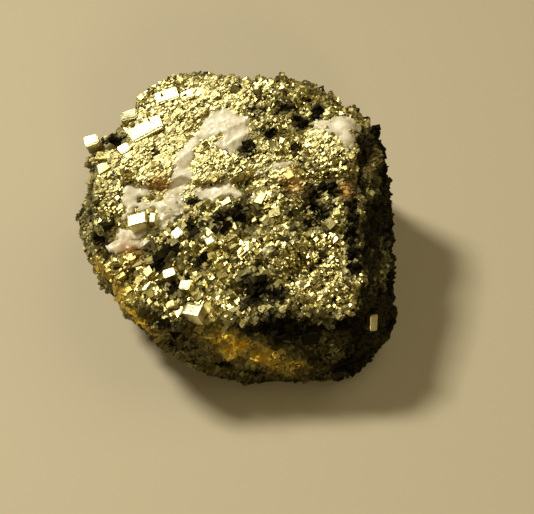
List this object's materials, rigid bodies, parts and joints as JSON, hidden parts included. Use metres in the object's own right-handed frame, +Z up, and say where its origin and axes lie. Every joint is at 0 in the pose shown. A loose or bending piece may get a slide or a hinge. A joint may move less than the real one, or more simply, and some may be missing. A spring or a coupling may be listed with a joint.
{
  "type": "pyrite cluster",
  "caption": "Hand-sized lump of granular pyrite with larger single crystals and milky quartz grown into it, resting on a flat break.",
  "frame": {"origin": "on the ground under the middle of the lump's bounding box", "axes": "+Z up from the flat break that it rests on, -Y towards the front, where the long top face slopes down, +X to its right along the longest side"},
  "size_m": [0.0494, 0.044, 0.031],
  "materials": {
    "pyrite": "granular, metallic lustre",
    "crystal": "smooth crystal faces, bright metallic lustre",
    "quartz": "milky, satin"
  },
  "bodies": {
    "root": {"pyrite_mass": "pyrite", "crystal_left_bright": "crystal", "crystal_left_slim": "crystal", "crystal_left_round": "crystal", "crystal_left_knob": "crystal", "crystal_cleft_knob": "crystal", "crystal_top_left": "crystal", "crystal_top_oblong": "crystal", "crystal_top_bulge": "crystal", "crystal_top_small": "crystal", "crystal_middle": "crystal", "crystal_low_middle": "crystal", "crystal_low_left": "crystal", "crystal_low_bright": "crystal", "crystal_front_block": "crystal", "crystal_right": "crystal", "quartz_seam": "quartz", "quartz_tail": "quartz", "quartz_tail_end": "quartz", "quartz_middle": "quartz", "quartz_left": "quartz", "quartz_left_front": "quartz", "quartz_corner": "quartz", "quartz_right": "quartz"}
  },
  "joints": []
}
